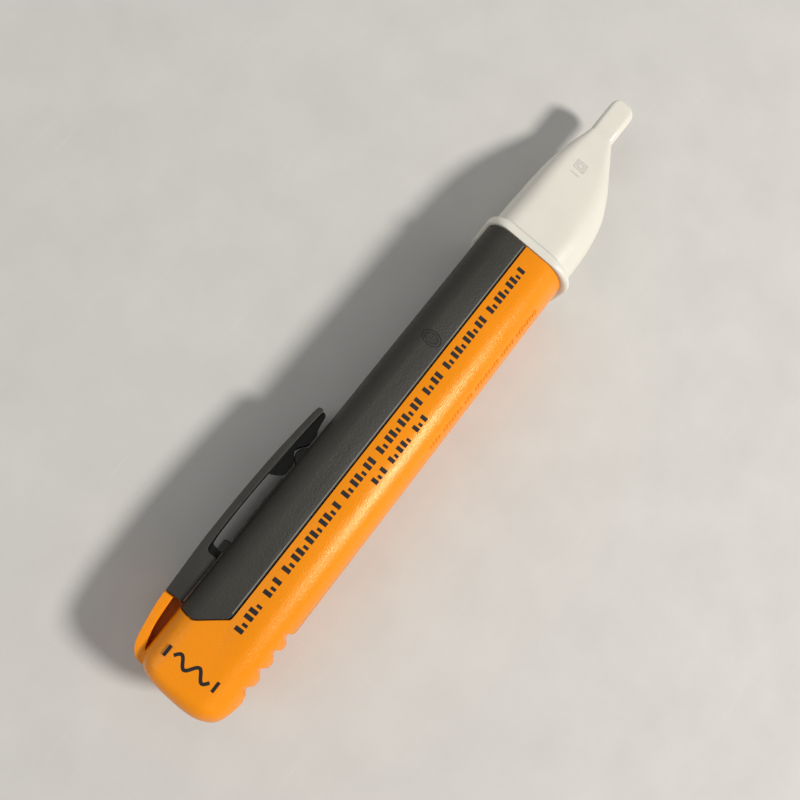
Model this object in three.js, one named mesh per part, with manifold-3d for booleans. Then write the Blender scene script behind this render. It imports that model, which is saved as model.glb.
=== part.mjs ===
// Pen-shaped non-contact voltage tester, lying on its flat side.
// Millimetres. +X runs to the sensing tip, +Y to the pocket clip side, +Z up.
// Drawn from the rear end and the body's middle line; `place` moves it to the shared origin.
import * as THREE from 'three';
import { mergeVertices } from 'three/addons/utils/BufferGeometryUtils.js';
import Module from 'manifold-3d';

const wasm = await Module();
wasm.setup();

// ---- driving dimensions -------------------------------------------------------------
const REAR_END = 1.4;
const TIP_END = 147.1;
const BODY_HALF = 9.4;            // half of the body's height, clip side to grip side
const THICK = 18.6;               // flat side to flat side
const MID_Z = THICK / 2;
const WALL = 1.8;
const GAP = 0.3;                  // between pieces that fit together
const REST = 0.1;                 // between flat pieces that lie on each other
const CLIP_TOP = 13.7;            // outer face of the pocket clip
const R_CLIP_SIDE = 4;            // body corner radii
const R_GRIP_SIDE = 6.5;
const ARC_STEPS = 3;              // three.js draws an arc with twice this many segments

const SLEEVE_END = 103.1;         // front rim of the sleeve
const SEAM_Y = 1.5;               // where the yellow and the grey meet on the flat sides
const PANEL_START = 14;
const LAP = 2.2;                  // how far the grey panel's lip reaches inside the yellow
const SKIN = 0.8;                 // half of the wall, where the two shells overlap

const CLIP_WIDTH = 12;
const CLIP_END = 55.1;
const ROOT_END = 14.3;
const BLOCK_START = ROOT_END + GAP;
const BLOCK_END = 23.6;
const TOOTH_WIDTH = 7;

const BEAD = 0.85;                // how far the collar stands proud of the body on the clip side
const GRIP_BEAD = 1.45;           // and on the grip side
const NOSE_START = 105.2;
const NOSE_WALL = 1.3;
const TIP_Y = 2.78;               // the snout sits towards the clip side
const SNOUT_START = 137.3;
const SNOUT_HALF = 2.82;
const SNOUT_HALF_THICK = 2;

const CELL_RADIUS = 5.1;          // AAA cells, in line
const CELL_LENGTH = 44;
const CELL_START = 7.2;
const CELL_GAP = 0.3;
const TRAY_START = 3.6;
const TRAY_FLOOR_START = TRAY_START + 1.1;
const TRAY_WALL_TOP = 11.5;
const TRAY_INSET = 2.6;
const TRAY_CLIP_SIDE = 6.3;       // the tray's wall towards the button and the latch
const BATTERY_END = CELL_START + 2 * CELL_LENGTH + CELL_GAP;
const TRAY_END = BATTERY_END + 1.7;

const LATCH_PIVOT_X = 46;
const LATCH_Z = 13.5;
const LATCH_HALF = 1;

const PCB_BOTTOM = 7;
const PCB_THICK = 1;
const PCB_TOP = PCB_BOTTOM + PCB_THICK;
const PCB_START = TRAY_END + 0.5;
const PCB_END = 128.6;
const LED_START = 126.6;

const BUTTON_X = 96.6;
const BUTTON_LONG = 8.2;
const BUTTON_WIDE = 7;
const BUTTON_TOP = 9.3;
const BUTTON_CORNER = 2.4;
const DISH_RADIUS = 14;           // shallow finger dish in the button
const DISH_DEPTH = 0.3;
const SWITCH_X = 99.6;
const SWITCH_Z = 9.7;
const STEM_TIP = 6.95;

// ---- solids -------------------------------------------------------------------------
function solid(geometry) {
  const bare = geometry.clone();
  bare.deleteAttribute('normal');
  bare.deleteAttribute('uv');
  const merged = mergeVertices(bare, 1e-5);
  const mesh = new wasm.Mesh({
    numProp: 3,
    vertProperties: Float32Array.from(merged.attributes.position.array),
    triVerts: Uint32Array.from(merged.index.array),
  });
  return new wasm.Manifold(mesh);
}

function toGeometry(manifold) {
  const mesh = manifold.getMesh();
  const geometry = new THREE.BufferGeometry();
  geometry.setAttribute('position', new THREE.Float32BufferAttribute(mesh.vertProperties, 3));
  geometry.setIndex(Array.from(mesh.triVerts));
  return geometry;
}

function box(x0, x1, y0, y1, z0, z1) {
  const geometry = new THREE.BoxGeometry(x1 - x0, y1 - y0, z1 - z0);
  geometry.translate((x0 + x1) / 2, (y0 + y1) / 2, (z0 + z1) / 2);
  return solid(geometry);
}

const AXES = {
  x: new THREE.Matrix4().makeBasis(
    new THREE.Vector3(0, 1, 0), new THREE.Vector3(0, 0, 1), new THREE.Vector3(1, 0, 0)),
  y: new THREE.Matrix4().makeBasis(
    new THREE.Vector3(0, 0, 1), new THREE.Vector3(1, 0, 0), new THREE.Vector3(0, 1, 0)),
  z: new THREE.Matrix4(),
};

// A shape drawn in (y, z), (z, x) or (x, y) and extruded along the remaining axis.
function prism(axis, shape, from, to, steps = ARC_STEPS) {
  const options = { depth: to - from, bevelEnabled: false, curveSegments: steps };
  const geometry = new THREE.ExtrudeGeometry(shape, options);
  geometry.translate(0, 0, from);
  geometry.applyMatrix4(AXES[axis]);
  return solid(geometry);
}

function rod(axis, radius, from, to, a, b, sides = 20) {
  const circle = new THREE.Shape();
  circle.absarc(a, b, radius, 0, 2 * Math.PI, false);
  return prism(axis, circle, from, to, sides / 2);
}

function polygon(points) {
  return new THREE.Shape(points.map(([a, b]) => new THREE.Vector2(a, b)));
}

// Points along a smooth line through the given ones.
function smoothLine(points, segments) {
  const curve = new THREE.SplineCurve(points.map(([a, b]) => new THREE.Vector2(a, b)));
  return curve.getPoints(segments).map(({ x, y }) => [x, y]);
}

// Rectangle with one corner radius on its low side and another on its high side.
function roundedShape(a0, a1, b0, b1, rLow, rHigh) {
  const limit = Math.min(b1 - b0, a1 - a0) / 2 - 0.01;
  const lo = Math.min(rLow, limit);
  const hi = Math.min(rHigh, limit);
  const shape = new THREE.Shape();
  shape.moveTo(a0 + lo, b0);
  shape.absarc(a1 - hi, b0 + hi, hi, -Math.PI / 2, 0, false);
  shape.absarc(a1 - hi, b1 - hi, hi, 0, Math.PI / 2, false);
  shape.absarc(a0 + lo, b1 - lo, lo, Math.PI / 2, Math.PI, false);
  shape.absarc(a0 + lo, b0 + lo, lo, Math.PI, Math.PI * 1.5, false);
  return shape;
}

// The body's cross-section in (y, z), moved in by `inset` all round.
function bodySection(inset) {
  return roundedShape(-BODY_HALF + inset, BODY_HALF - inset, inset, THICK - inset,
    Math.max(R_GRIP_SIDE - inset, 0.2), Math.max(R_CLIP_SIDE - inset, 0.2));
}

function bodyBar(inset, from, to) {
  return prism('x', bodySection(inset), from, to);
}

// The shape's corner points, without the last one, which repeats the first.
function closedOutline(shape) {
  return shape.getPoints(ARC_STEPS).slice(0, -1);
}

// A skin through a row of cross-sections, each with the same number of points.
function loft(stations, outlineAt) {
  const rings = stations.map((station) => outlineAt(station));
  const count = rings[0].length;
  const positions = [];
  const index = [];
  rings.forEach((ring, row) => {
    ring.forEach((point) => positions.push(stations[row].x, point.x, point.y));
  });
  for (let row = 0; row + 1 < rings.length; row += 1) {
    for (let i = 0; i < count; i += 1) {
      const here = row * count + i;
      const next = row * count + (i + 1) % count;
      index.push(here, next, next + count, here, next + count, here + count);
    }
  }
  const last = (rings.length - 1) * count;
  for (let i = 1; i + 1 < count; i += 1) {
    index.push(0, i + 1, i);
    index.push(last, last + i, last + i + 1);
  }
  const geometry = new THREE.BufferGeometry();
  geometry.setAttribute('position', new THREE.Float32BufferAttribute(positions, 3));
  geometry.setIndex(index);
  geometry.computeVertexNormals();
  return solid(geometry);
}

// ---- materials ----------------------------------------------------------------------
function finish(color, roughness, metalness = 0) {
  return new THREE.MeshStandardMaterial({ color, roughness, metalness });
}

const YELLOW = finish('#f59a0c', 0.5);
const GREY = finish('#474742', 0.6);
const WHITE = finish('#e9e5da', 0.4);
const NATURAL = finish('#d8d4c8', 0.5);
const BLACK = finish('#1c1c1e', 0.5);
const BOARD = finish('#1f6b3a', 0.5);
const STEEL = finish('#b9bcc0', 0.3, 1);
const COPPER = finish('#b87345', 0.35, 1);
const BRASS = finish('#c9a552', 0.35, 1);
const CELL = finish('#2f5f9e', 0.35, 0.3);
const LED_RED = finish('#d0201c', 0.2);
const CERAMIC = finish('#cdbf9f', 0.5);

// ---- assembly -----------------------------------------------------------------------
const tester = new THREE.Group();
const X_SHIFT = -(REAR_END + TIP_END) / 2;
const Y_SHIFT = -(CLIP_TOP - BODY_HALF - GRIP_BEAD) / 2;

function place(name, manifold, material) {
  const geometry = toGeometry(manifold);
  geometry.translate(X_SHIFT, Y_SHIFT, 0);
  geometry.computeVertexNormals();
  const mesh = new THREE.Mesh(geometry, material);
  mesh.name = name;
  tester.add(mesh);
}

// ---- outer shells -------------------------------------------------------------------
// Plan outline of the rear end, convex and leaning forward towards the clip.
const REAR_PLAN = [
  [3.75, BODY_HALF], [2.6, 7.2], [1.85, 3.9], [1.45, 0], [REAR_END, -2.8], [1.8, -5.5], [3, -8],
  [7, -9.5],
];
const R_REAR = 3.2;               // rounding of the rear end towards both flat sides

function rearPlan(inset) {
  const corner = smoothLine(REAR_PLAN, 18).map(([x, y]) => [x + inset, y]);
  const front = SLEEVE_END + 1;
  return polygon([[front, 11], [4 + inset, 11], ...corner, [7 + inset, -11], [front, -11]]);
}

// Rear end seen from the side, in (z, x), with rounded edges towards both flat sides.
function rearProfile(inset) {
  const start = REAR_END + inset;
  const profile = new THREE.Shape();
  profile.moveTo(-1, SLEEVE_END + 1);
  profile.lineTo(-1, start + R_REAR);
  profile.lineTo(inset, start + R_REAR);
  profile.absarc(R_REAR + inset, start + R_REAR, R_REAR, Math.PI, Math.PI * 1.5, false);
  profile.absarc(THICK - R_REAR - inset, start + R_REAR, R_REAR, -Math.PI / 2, 0, false);
  profile.lineTo(THICK + 1, start + R_REAR);
  profile.lineTo(THICK + 1, SLEEVE_END + 1);
  profile.closePath();
  return profile;
}

function bodyBlank(inset) {
  return bodyBar(inset, -1, SLEEVE_END)
    .intersect(prism('z', rearPlan(inset), -1, THICK + 1))
    .intersect(prism('y', rearProfile(inset), -BODY_HALF - 1, BODY_HALF + 1));
}

// Finger grip: valleys pressed into the edge away from the clip, following its rounding.
const GRIP_DEPTH = 0.93;
const GRIP_END = 24;
const GRIP_WALL = -7.1;           // the cavity stays on the clip side of this behind the grip
const GRIP_START = [[7, -9.5], [8, -8.95]];
const VALLEYS = [10.45, 14.2, 17.8, 21.15];
// Plan of one valley, from its rear slope to the crest in front of it.
const VALLEY = [
  [-1.65, -8.85], [-1.15, -8.2], [-0.55, -7.4], [-0.05, -7.5], [0.2, -8.7], [0.55, -9.15],
  [1.07, -9.45],
];

function fingerGrip() {
  const valleys = VALLEYS.flatMap((x) => VALLEY.map(([along, y]) => [x + along, y]));
  const line = smoothLine([...GRIP_START, ...valleys], 72);
  const outline = polygon([[line[0][0], -11], ...line, [line[72][0], -11]]);
  return prism('z', outline, -1, THICK + 1).subtract(bodyBar(GRIP_DEPTH, 0, 30));
}

const cavity = bodyBlank(WALL).add(bodyBar(WALL, 20, SLEEVE_END + 1))
  .subtract(box(0, GRIP_END, -BODY_HALF, GRIP_WALL, 0, THICK));

function panelPlan(grow, reach) {
  const low = SEAM_Y - reach - grow;
  return polygon([
    [PANEL_START - reach - grow, 30], [PANEL_START - reach - grow, 6.4 - grow * 0.4],
    [PANEL_START + 3.8 - reach - grow * 0.6, low], [SLEEVE_END + 5, low], [SLEEVE_END + 5, 30],
  ]);
}

function panelRegion(grow, reach = 0) {
  return prism('z', panelPlan(grow, reach), -1, THICK + 1);
}

// The clip's root curves up from the rear end. A thin web closes the slot under it.
const ROOT_OUTER = [
  [3.07, 8.1], [3.25, 9.4], [3.75, 10.4], [4.95, 11.4], [7, 12.05], [11.7, 12.9], [ROOT_END, 13.1],
];
const ROOT_INNER = [
  [ROOT_END, 11.3], [11.8, 11.1], [8.7, 10.7], [5.9, 9.8], [5, 9.1], [5.3, 8.1],
];
const SLOT_FLOOR = [[5.2, 8.6], [PANEL_START + 2, 9.25], [PANEL_START + 2, 12], [5.2, 12]];
const WEB = [
  [4.6, 8.6], [PANEL_START - 0.5, 8.6], [PANEL_START - 0.5, BODY_HALF + GAP],
  [ROOT_END, BODY_HALF + GAP], [ROOT_END, 11.4], [9, 11], [6, 10.4], [4.6, 9.8],
];
const WEB_HALF = 0.8;

// A plan outline as wide as the clip.
function clipWide(outline) {
  return prism('z', polygon(outline), MID_Z - CLIP_WIDTH / 2, MID_Z + CLIP_WIDTH / 2);
}

function clipRoot() {
  return clipWide([...smoothLine(ROOT_OUTER, 16), ...smoothLine(ROOT_INNER, 14)])
    .add(prism('z', polygon(WEB), MID_Z - WEB_HALF, MID_Z + WEB_HALF));
}

function outerSleeve() {
  const lapRelief = bodyBar(SKIN, PANEL_START - LAP, SLEEVE_END + 1).intersect(panelRegion(GAP, LAP));
  return bodyBlank(0).subtract(clipWide(SLOT_FLOOR)).subtract(fingerGrip())
    .subtract(panelRegion(GAP / 2))
    .add(clipRoot()).subtract(cavity).subtract(lapRelief);
}

function bodyRidge() {
  const ridge = new THREE.Shape();
  ridge.moveTo(44.4, 8.8);
  ridge.lineTo(44.4, 9.4);
  ridge.bezierCurveTo(45.5, 11.1, 47.3, 11.1, 48.4, 9.4);
  ridge.lineTo(48.4, 8.8);
  ridge.closePath();
  return prism('z', ridge, MID_Z - TOOTH_WIDTH / 2, MID_Z + TOOTH_WIDTH / 2);
}

function buttonWindow(grow, from, to) {
  const long = BUTTON_LONG / 2 + grow;
  const wide = BUTTON_WIDE / 2 + grow;
  return prism('y', roundedShape(MID_Z - wide, MID_Z + wide, BUTTON_X - long, BUTTON_X + long,
    BUTTON_CORNER, BUTTON_CORNER), from, to);
}

function greyPanel() {
  const shell = bodyBlank(0).subtract(cavity).intersect(panelRegion(-GAP / 2));
  const lip = bodyBar(SKIN + GAP, PANEL_START - LAP + 1, SLEEVE_END - 0.6)
    .subtract(cavity).intersect(panelRegion(0, LAP - 0.3));
  const rail = box(27.9, 41, 8.8, 9.75, LATCH_Z - 1.2, LATCH_Z + 1.2);
  const window = box(24.4, 27.3, 7, 11, LATCH_Z - 1.4, LATCH_Z + 1.4);
  const groove = box(24.4, SLEEVE_END + 1, 7, 8.5, LATCH_Z - 1.3, LATCH_Z + 1.3);
  return shell.add(lip).add(bodyRidge()).add(rail)
    .subtract(window).subtract(groove).subtract(buttonWindow(GAP, 5, 11));
}

// ---- pocket clip --------------------------------------------------------------------
const BLOCK_BOTTOM = 9.65;
const ARM_INNER = [
  [BLOCK_END, 11.5], [BLOCK_END + 0.5, 12], [26.4, 12.25], [31.3, 12.35], [37.3, 12.3], [43.3, 12.1],
  [48.6, 11.9], [53.6, 11.6],
];
const ARM_OUTER = [
  [CLIP_END, 12.2], [54.3, 12.75], [50.4, 13.05], [43.3, 13.5], [34.7, CLIP_TOP], [26.3, 13.64],
  [21.4, 13.44], [BLOCK_START, 13.05],
];
// Two teeth with an arch between them that clears the ridge on the body.
const TEETH = [
  [40.2, 12.6], [40.8, 10.9], [42.1, 9.6], [44, 9.6], [45.1, 10.15], [46, 10.9], [46.6, 11.1],
  [47.3, 10.8], [48, 10.25], [49.1, 9.6], [50.9, 9.6], [51.8, 10.1], [53.3, 10.35], [54.6, 10.55],
  [CLIP_END, 11], [CLIP_END, 12.2], [54.3, 12.5],
];

function pocketClip() {
  return clipWide([
    [BLOCK_START, BLOCK_BOTTOM], [BLOCK_END, BLOCK_BOTTOM], ...smoothLine(ARM_INNER, 20),
    [CLIP_END, 11.5], ...smoothLine(ARM_OUTER, 18),
  ]).add(prism('z', polygon(TEETH), MID_Z - TOOTH_WIDTH / 2, MID_Z + TOOTH_WIDTH / 2));
}

// ---- power button, held under the panel by its flange ---------------------------------
function powerButton() {
  const cap = buttonWindow(0, 7.3, BUTTON_TOP);
  const half = BUTTON_LONG / 2 + 0.9;
  const flange = box(BUTTON_X - half, BUTTON_X + half, 7.1, 7.5, MID_Z - 4.2, MID_Z + 2.1);
  const stem = rod('y', 1.1, STEM_TIP, 7.4, SWITCH_Z, SWITCH_X, 16);
  const ball = new THREE.SphereGeometry(DISH_RADIUS, 32, 24);
  const dish = solid(ball.translate(BUTTON_X, BUTTON_TOP + DISH_RADIUS - DISH_DEPTH, MID_Z));
  return cap.add(flange).add(stem).subtract(dish);
}

// ---- nose ---------------------------------------------------------------------------
// Each station: x, grip-side edge, clip-side edge, half thickness.
const NOSE = [
  [NOSE_START, -9.5, 9.2, 9.2], [109, -9.55, 9.15, 9.15], [113, -9.4, 9, 9],
  [116.5, -9, 8.85, 8.6], [120, -8.3, 8.65, 8], [123.5, -7, 8.35, 7.2],
  [127, -5.4, 7.85, 6.1], [130.8, -3.4, 7.1, 4.7], [134.2, -1.7, 6.3, 3.2],
  [SNOUT_START, TIP_Y - SNOUT_HALF, TIP_Y + SNOUT_HALF, SNOUT_HALF_THICK],
];

function noseStations(inset) {
  return NOSE.map(([x, low, high, half]) => ({
    x, low: low + inset, high: high - inset, half: half - inset, inset,
  }));
}

// The blade keeps its width, then closes in a round end.
function snoutStations() {
  const radius = 2.3;
  const flat = SNOUT_HALF - radius;
  const stations = [];
  for (let step = 0; step <= 5; step += 1) {
    const angle = step * Math.PI / 10;
    const width = flat + radius * Math.cos(angle);
    stations.push({
      x: TIP_END - radius * (1 - Math.sin(angle)),
      low: TIP_Y - width,
      high: TIP_Y + width,
      half: SNOUT_HALF_THICK * (0.35 + 0.65 * Math.cos(angle) ** 0.6),
      inset: 0,
    });
  }
  return stations;
}

function noseOutline(station) {
  const share = station.half / MID_Z;
  const rLow = Math.max(R_GRIP_SIDE * share - station.inset, 0.3);
  const rHigh = Math.max(R_CLIP_SIDE * share - station.inset, 0.3);
  return closedOutline(roundedShape(station.low, station.high,
    MID_Z - station.half, MID_Z + station.half, rLow, rHigh));
}

function noseCone() {
  const outside = loft(noseStations(0).concat(snoutStations()), noseOutline);
  const inner = noseStations(NOSE_WALL).slice(0, -1);
  inner[0].x -= 1;
  const bore = box(132, TIP_END - 3, TIP_Y - 1.4, TIP_Y + 1.4, MID_Z - 0.8, MID_Z + 0.8);
  return outside.subtract(loft(inner, noseOutline)).subtract(bore);
}

function noseCollar() {
  const start = SLEEVE_END + GAP;
  const end = NOSE_START - GAP;
  const wide = end - start;
  const rim = [[0, 0], [0.2, 0.8], [0.6, 1], [wide - 0.25, 0.8], [wide, 0]];
  const stations = rim.map(([along, share]) => ({ x: start + along, share }));
  const bead = loft(stations, ({ share }) => closedOutline(roundedShape(-BODY_HALF - GRIP_BEAD * share,
    BODY_HALF + BEAD * share, 0.02, THICK - 0.02, R_GRIP_SIDE, R_CLIP_SIDE)));
  const skirt = bodyBar(WALL + GAP, 102, SLEEVE_END + 0.6);
  const spigot = bodyBar(NOSE_WALL + 0.5, 104, NOSE_START + 3);
  return bead.add(skirt).add(spigot).subtract(bodyBar(WALL + 1.4, 100, 110));
}

// ---- battery tray, which slides out with the nose ---------------------------------------
function traySection() {
  const inset = TRAY_INSET;
  return roundedShape(-BODY_HALF + inset, TRAY_CLIP_SIDE, inset, TRAY_WALL_TOP,
    R_GRIP_SIDE - inset, R_CLIP_SIDE - inset);
}

const BOSSES = [[102.6, -3.4], [121, -0.8]];
const STRAP_Y = -6.75;

function batteryTray() {
  const block = prism('x', traySection(), TRAY_START, TRAY_END).intersect(bodyBlank(WALL + GAP));
  const room = CELL_RADIUS + 0.35;
  const channel = rod('x', room, TRAY_FLOOR_START, TRAY_END - 0.8, 0, MID_Z, 28);
  const mouth = box(TRAY_FLOOR_START, TRAY_END - 0.8, -room, room, MID_Z, THICK);
  const strapSlot = box(TRAY_FLOOR_START, TRAY_FLOOR_START + 0.8, -8, -4, 5.6, 12);
  const strapGroove = box(TRAY_FLOOR_START, TRAY_END + 1, -8, STRAP_Y + 0.35, 7.7, 10.9);
  const floor = box(TRAY_END - 1, 111.5, -3.9, 5.2, 3.6, 4.7).add(box(110, 122.3, -2.6, 4, 3.6, 4.7));
  let tray = block.subtract(channel).subtract(mouth).subtract(strapSlot).subtract(strapGroove)
    .add(floor);
  [22, 38, 62, 78].forEach((x) => {
    tray = tray.subtract(box(x, x + 9, -2.2, 2.2, 0, 5));
  });
  BOSSES.forEach(([x, y]) => {
    tray = tray.add(rod('z', 1.5, 4.4, PCB_BOTTOM - REST, x, y, 16));
    tray = tray.subtract(rod('z', 0.75, 4.9, PCB_TOP, x, y, 12));
  });
  return tray;
}

function latchArm() {
  const low = LATCH_Z - LATCH_HALF;
  const high = LATCH_Z + LATCH_HALF;
  const arm = box(24.8, LATCH_PIVOT_X + 1.5, 6.65, 7.3, low, high);
  const root = box(LATCH_PIVOT_X - 1.5, LATCH_PIVOT_X + 1.5, 5.8, 6.9, TRAY_WALL_TOP + GAP, high);
  const tab = polygon([[25, 7], [26.9, 7], [26.8, 10.5], [26.4, 10.8], [25.2, 10.8], [25, 10.6]]);
  return arm.add(root).add(prism('z', tab, low, high));
}

function cellSolid(start) {
  const profile = [[0, 0], [4.9, 0], [CELL_RADIUS, 0.25], [CELL_RADIUS, CELL_LENGTH - 1.2],
    [4.8, CELL_LENGTH - 0.9], [1.9, CELL_LENGTH - 0.9],
    [1.9, CELL_LENGTH - 0.1], [1.7, CELL_LENGTH], [0, CELL_LENGTH]];
  const geometry = new THREE.LatheGeometry(profile.map(([r, h]) => new THREE.Vector2(r, h)), 28);
  geometry.rotateZ(-Math.PI / 2);
  geometry.translate(start, 0, MID_Z);
  return solid(geometry);
}

const SPRING_START = CELL_START - 1.6;

class ConeHelix extends THREE.Curve {
  getPoint(t, target = new THREE.Vector3()) {
    const turn = t * 2.5 * 2 * Math.PI;
    const radius = 3.5 - 1.3 * t;
    return target.set(SPRING_START + 0.95 * t, radius * Math.cos(turn), MID_Z + radius * Math.sin(turn));
  }
}

function contactSpring() {
  const wire = new THREE.Shape();
  wire.absarc(0, 0, 0.25, 0, 2 * Math.PI, false);
  const options = { steps: 60, curveSegments: 3, bevelEnabled: false, extrudePath: new ConeHelix() };
  return solid(new THREE.ExtrudeGeometry(wire, options));
}

function contactStrap() {
  const plateStart = TRAY_FLOOR_START + 0.2;
  const plate = box(plateStart, plateStart + 0.3, STRAP_Y, 4.2, 6, 11.6);
  const leg = box(plateStart, 99.7, STRAP_Y, STRAP_Y + 0.25, 8, 10.6);
  const foot = box(99.4, 99.7, STRAP_Y, -5.9, 8, 10.6);
  return plate.add(leg).add(foot);
}

function frontContact() {
  const start = BATTERY_END + 0.3;
  const plate = box(start, start + 0.3, -3, 3, 6.4, 12.6);
  return plate.subtract(box(start - 1, start + 1, -0.5, 0.5, 12.2, 13))
    .add(box(start, start + 0.3, 3, 3.6, 8.4, 10.4));
}

// ---- electronics ----------------------------------------------------------------------
function mainPcb() {
  const outline = polygon([
    [PCB_START, -5.7], [115, -5.7], [123, -3.6], [PCB_END, -0.6], [PCB_END, 4.6], [120, 5.7],
    [PCB_START, 5.7],
  ]);
  let board = prism('z', outline, PCB_BOTTOM, PCB_TOP);
  BOSSES.forEach(([x, y]) => {
    board = board.subtract(rod('z', 0.9, 0, THICK, x, y, 12));
  });
  return board;
}

function pcbScrew(x, y) {
  const head = rod('z', 1.4, PCB_TOP + REST, PCB_TOP + 1, x, y, 16);
  const shank = rod('z', 0.55, 5.3, PCB_TOP + 0.4, x, y, 10);
  const recess = box(x - 0.9, x + 0.9, y - 0.18, y + 0.18, PCB_TOP + 0.6, PCB_TOP + 2)
    .add(box(x - 0.18, x + 0.18, y - 0.9, y + 0.9, PCB_TOP + 0.6, PCB_TOP + 2));
  return head.add(shank).subtract(recess);
}

function switchBody() {
  const body = box(SWITCH_X - 1.7, SWITCH_X + 1.7, 2.6, 5.9, PCB_TOP + REST, PCB_TOP + 3.3);
  return body.subtract(rod('y', 1, 4.4, 7, SWITCH_Z, SWITCH_X, 16));
}

const BUZZER = [112, -0.2];

function buzzerCase() {
  const cup = rod('z', 5.4, PCB_TOP + REST, PCB_TOP + 4, ...BUZZER, 32);
  return cup.subtract(rod('z', 4.8, PCB_TOP + 0.9, PCB_TOP + 3.4, ...BUZZER, 28))
    .subtract(rod('z', 1.1, PCB_TOP + 2, PCB_TOP + 5, ...BUZZER, 16));
}

function statusLed() {
  const profile = [
    [0, 0], [1.75, 0], [1.75, 0.8], [1.5, 0.8], [1.5, 3.2], [1.3, 4], [0.75, 4.55], [0, 4.7],
  ];
  const geometry = new THREE.LatheGeometry(profile.map(([r, h]) => new THREE.Vector2(r, h)), 20);
  geometry.rotateZ(-Math.PI / 2);
  geometry.translate(LED_START, TIP_Y, 10.6);
  return solid(geometry);
}

function sensorAntenna() {
  const strip = polygon([[8, 126.4], [8.4, 126.4], [8.5, 130.8], [9.4, 134.6], [9.4, 143.2], [9, 143.2],
    [9, 134.7], [8.1, 131], [8, 131]].map(([z, x]) => [z + REST, x]));
  return prism('y', strip, TIP_Y - 0.9, TIP_Y + 0.9);
}

// ---- everything in its place ------------------------------------------------------------
place('outer_sleeve', outerSleeve(), YELLOW);
place('grey_panel', greyPanel(), GREY);
place('pocket_clip', pocketClip(), GREY);
place('power_button', powerButton(), BLACK);
place('nose_cone', noseCone(), WHITE);
place('nose_collar', noseCollar(), WHITE);
place('battery_tray', batteryTray(), NATURAL);
place('latch_arm', latchArm(), GREY);
place('battery_cell_rear', cellSolid(CELL_START), CELL);
place('battery_cell_front', cellSolid(CELL_START + CELL_LENGTH + CELL_GAP), CELL);
place('rear_contact_spring', contactSpring(), STEEL);
place('contact_strap', contactStrap(), STEEL);
place('front_contact', frontContact(), STEEL);
place('main_pcb', mainPcb(), BOARD);
BOSSES.forEach(([x, y], i) => place(`pcb_screw_${i + 1}`, pcbScrew(x, y), STEEL));
place('switch_body', switchBody(), BLACK);
place('switch_plunger', rod('y', 0.7, 4.8, 6.6, SWITCH_Z, SWITCH_X, 16), NATURAL);
place('buzzer_case', buzzerCase(), BLACK);
place('buzzer_disc', rod('z', 4.5, PCB_TOP + 1.4, PCB_TOP + 1.7, ...BUZZER, 28), BRASS);
place('microcontroller', box(118.6, 122.6, 1.2, 4.8, PCB_TOP + REST, PCB_TOP + 1.2), BLACK);
place('amplifier_chip', box(105.2, 109.2, -1.8, 1.8, PCB_BOTTOM - 1.2, PCB_BOTTOM - REST),
  BLACK);
place('status_led', statusLed(), LED_RED);
place('sensor_antenna', sensorAntenna(), COPPER);
[[102.6, 2.2], [102.6, 4.2], [123.9, -0.6], [123.9, 0.9]].forEach(([x, y], i) => {
  place(`resistor_${i + 1}`, box(x, x + 1.6, y, y + 0.8, PCB_TOP + REST, PCB_TOP + 0.6), BLACK);
});
[[124, 3.7], [117.4, -4.7], [123.3, -2.6]].forEach(([x, y], i) => {
  place(`capacitor_${i + 1}`, box(x, x + 2, y, y + 1.2, PCB_TOP + REST, PCB_TOP + 1), CERAMIC);
});

export default tester;
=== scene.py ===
"""Looks of the non-contact voltage tester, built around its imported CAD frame.

Sizes are in millimetres in the part's own layout (x from just behind the rear end, y from the
body's middle line towards the clip, z up from the table) and `at` turns them into the frame's
metres.
"""
import math

import bmesh
import bpy
from mathutils import Matrix, Vector


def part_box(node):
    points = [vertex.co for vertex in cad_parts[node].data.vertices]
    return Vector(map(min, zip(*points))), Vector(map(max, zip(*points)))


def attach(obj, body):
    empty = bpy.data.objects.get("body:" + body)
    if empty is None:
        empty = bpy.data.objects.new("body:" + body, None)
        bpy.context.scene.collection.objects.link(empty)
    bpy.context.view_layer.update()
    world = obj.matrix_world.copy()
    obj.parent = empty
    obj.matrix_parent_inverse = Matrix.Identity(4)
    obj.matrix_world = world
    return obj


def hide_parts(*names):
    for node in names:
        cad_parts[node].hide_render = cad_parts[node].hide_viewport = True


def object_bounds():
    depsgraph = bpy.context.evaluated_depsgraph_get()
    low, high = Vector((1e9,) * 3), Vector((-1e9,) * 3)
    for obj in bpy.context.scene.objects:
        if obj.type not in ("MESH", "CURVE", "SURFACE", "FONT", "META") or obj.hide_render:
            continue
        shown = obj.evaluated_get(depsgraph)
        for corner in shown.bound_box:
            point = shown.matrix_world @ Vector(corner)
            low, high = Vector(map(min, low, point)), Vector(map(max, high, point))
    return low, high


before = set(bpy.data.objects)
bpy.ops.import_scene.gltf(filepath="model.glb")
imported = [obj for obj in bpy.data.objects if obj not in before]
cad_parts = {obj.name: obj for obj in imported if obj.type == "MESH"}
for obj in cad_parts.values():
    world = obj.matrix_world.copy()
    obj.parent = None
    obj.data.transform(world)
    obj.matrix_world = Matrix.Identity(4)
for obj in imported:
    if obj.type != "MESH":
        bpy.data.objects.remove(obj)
CAD_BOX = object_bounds()

# ---- layout, read from the frame ------------------------------------------------------------
MM = 0.001
BODY_HALF = 9.4
REAR_END = 1.4
X_SHIFT = CAD_BOX[0].x / MM - REAR_END
Y_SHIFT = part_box("outer_sleeve")[0].y / MM + BODY_HALF
TIP_END = CAD_BOX[1].x / MM - X_SHIFT
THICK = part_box("outer_sleeve")[1].z / MM
MID_Z = THICK / 2
SLEEVE_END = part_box("outer_sleeve")[1].x / MM - X_SHIFT
CLIP_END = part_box("pocket_clip")[1].x / MM - X_SHIFT

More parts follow.
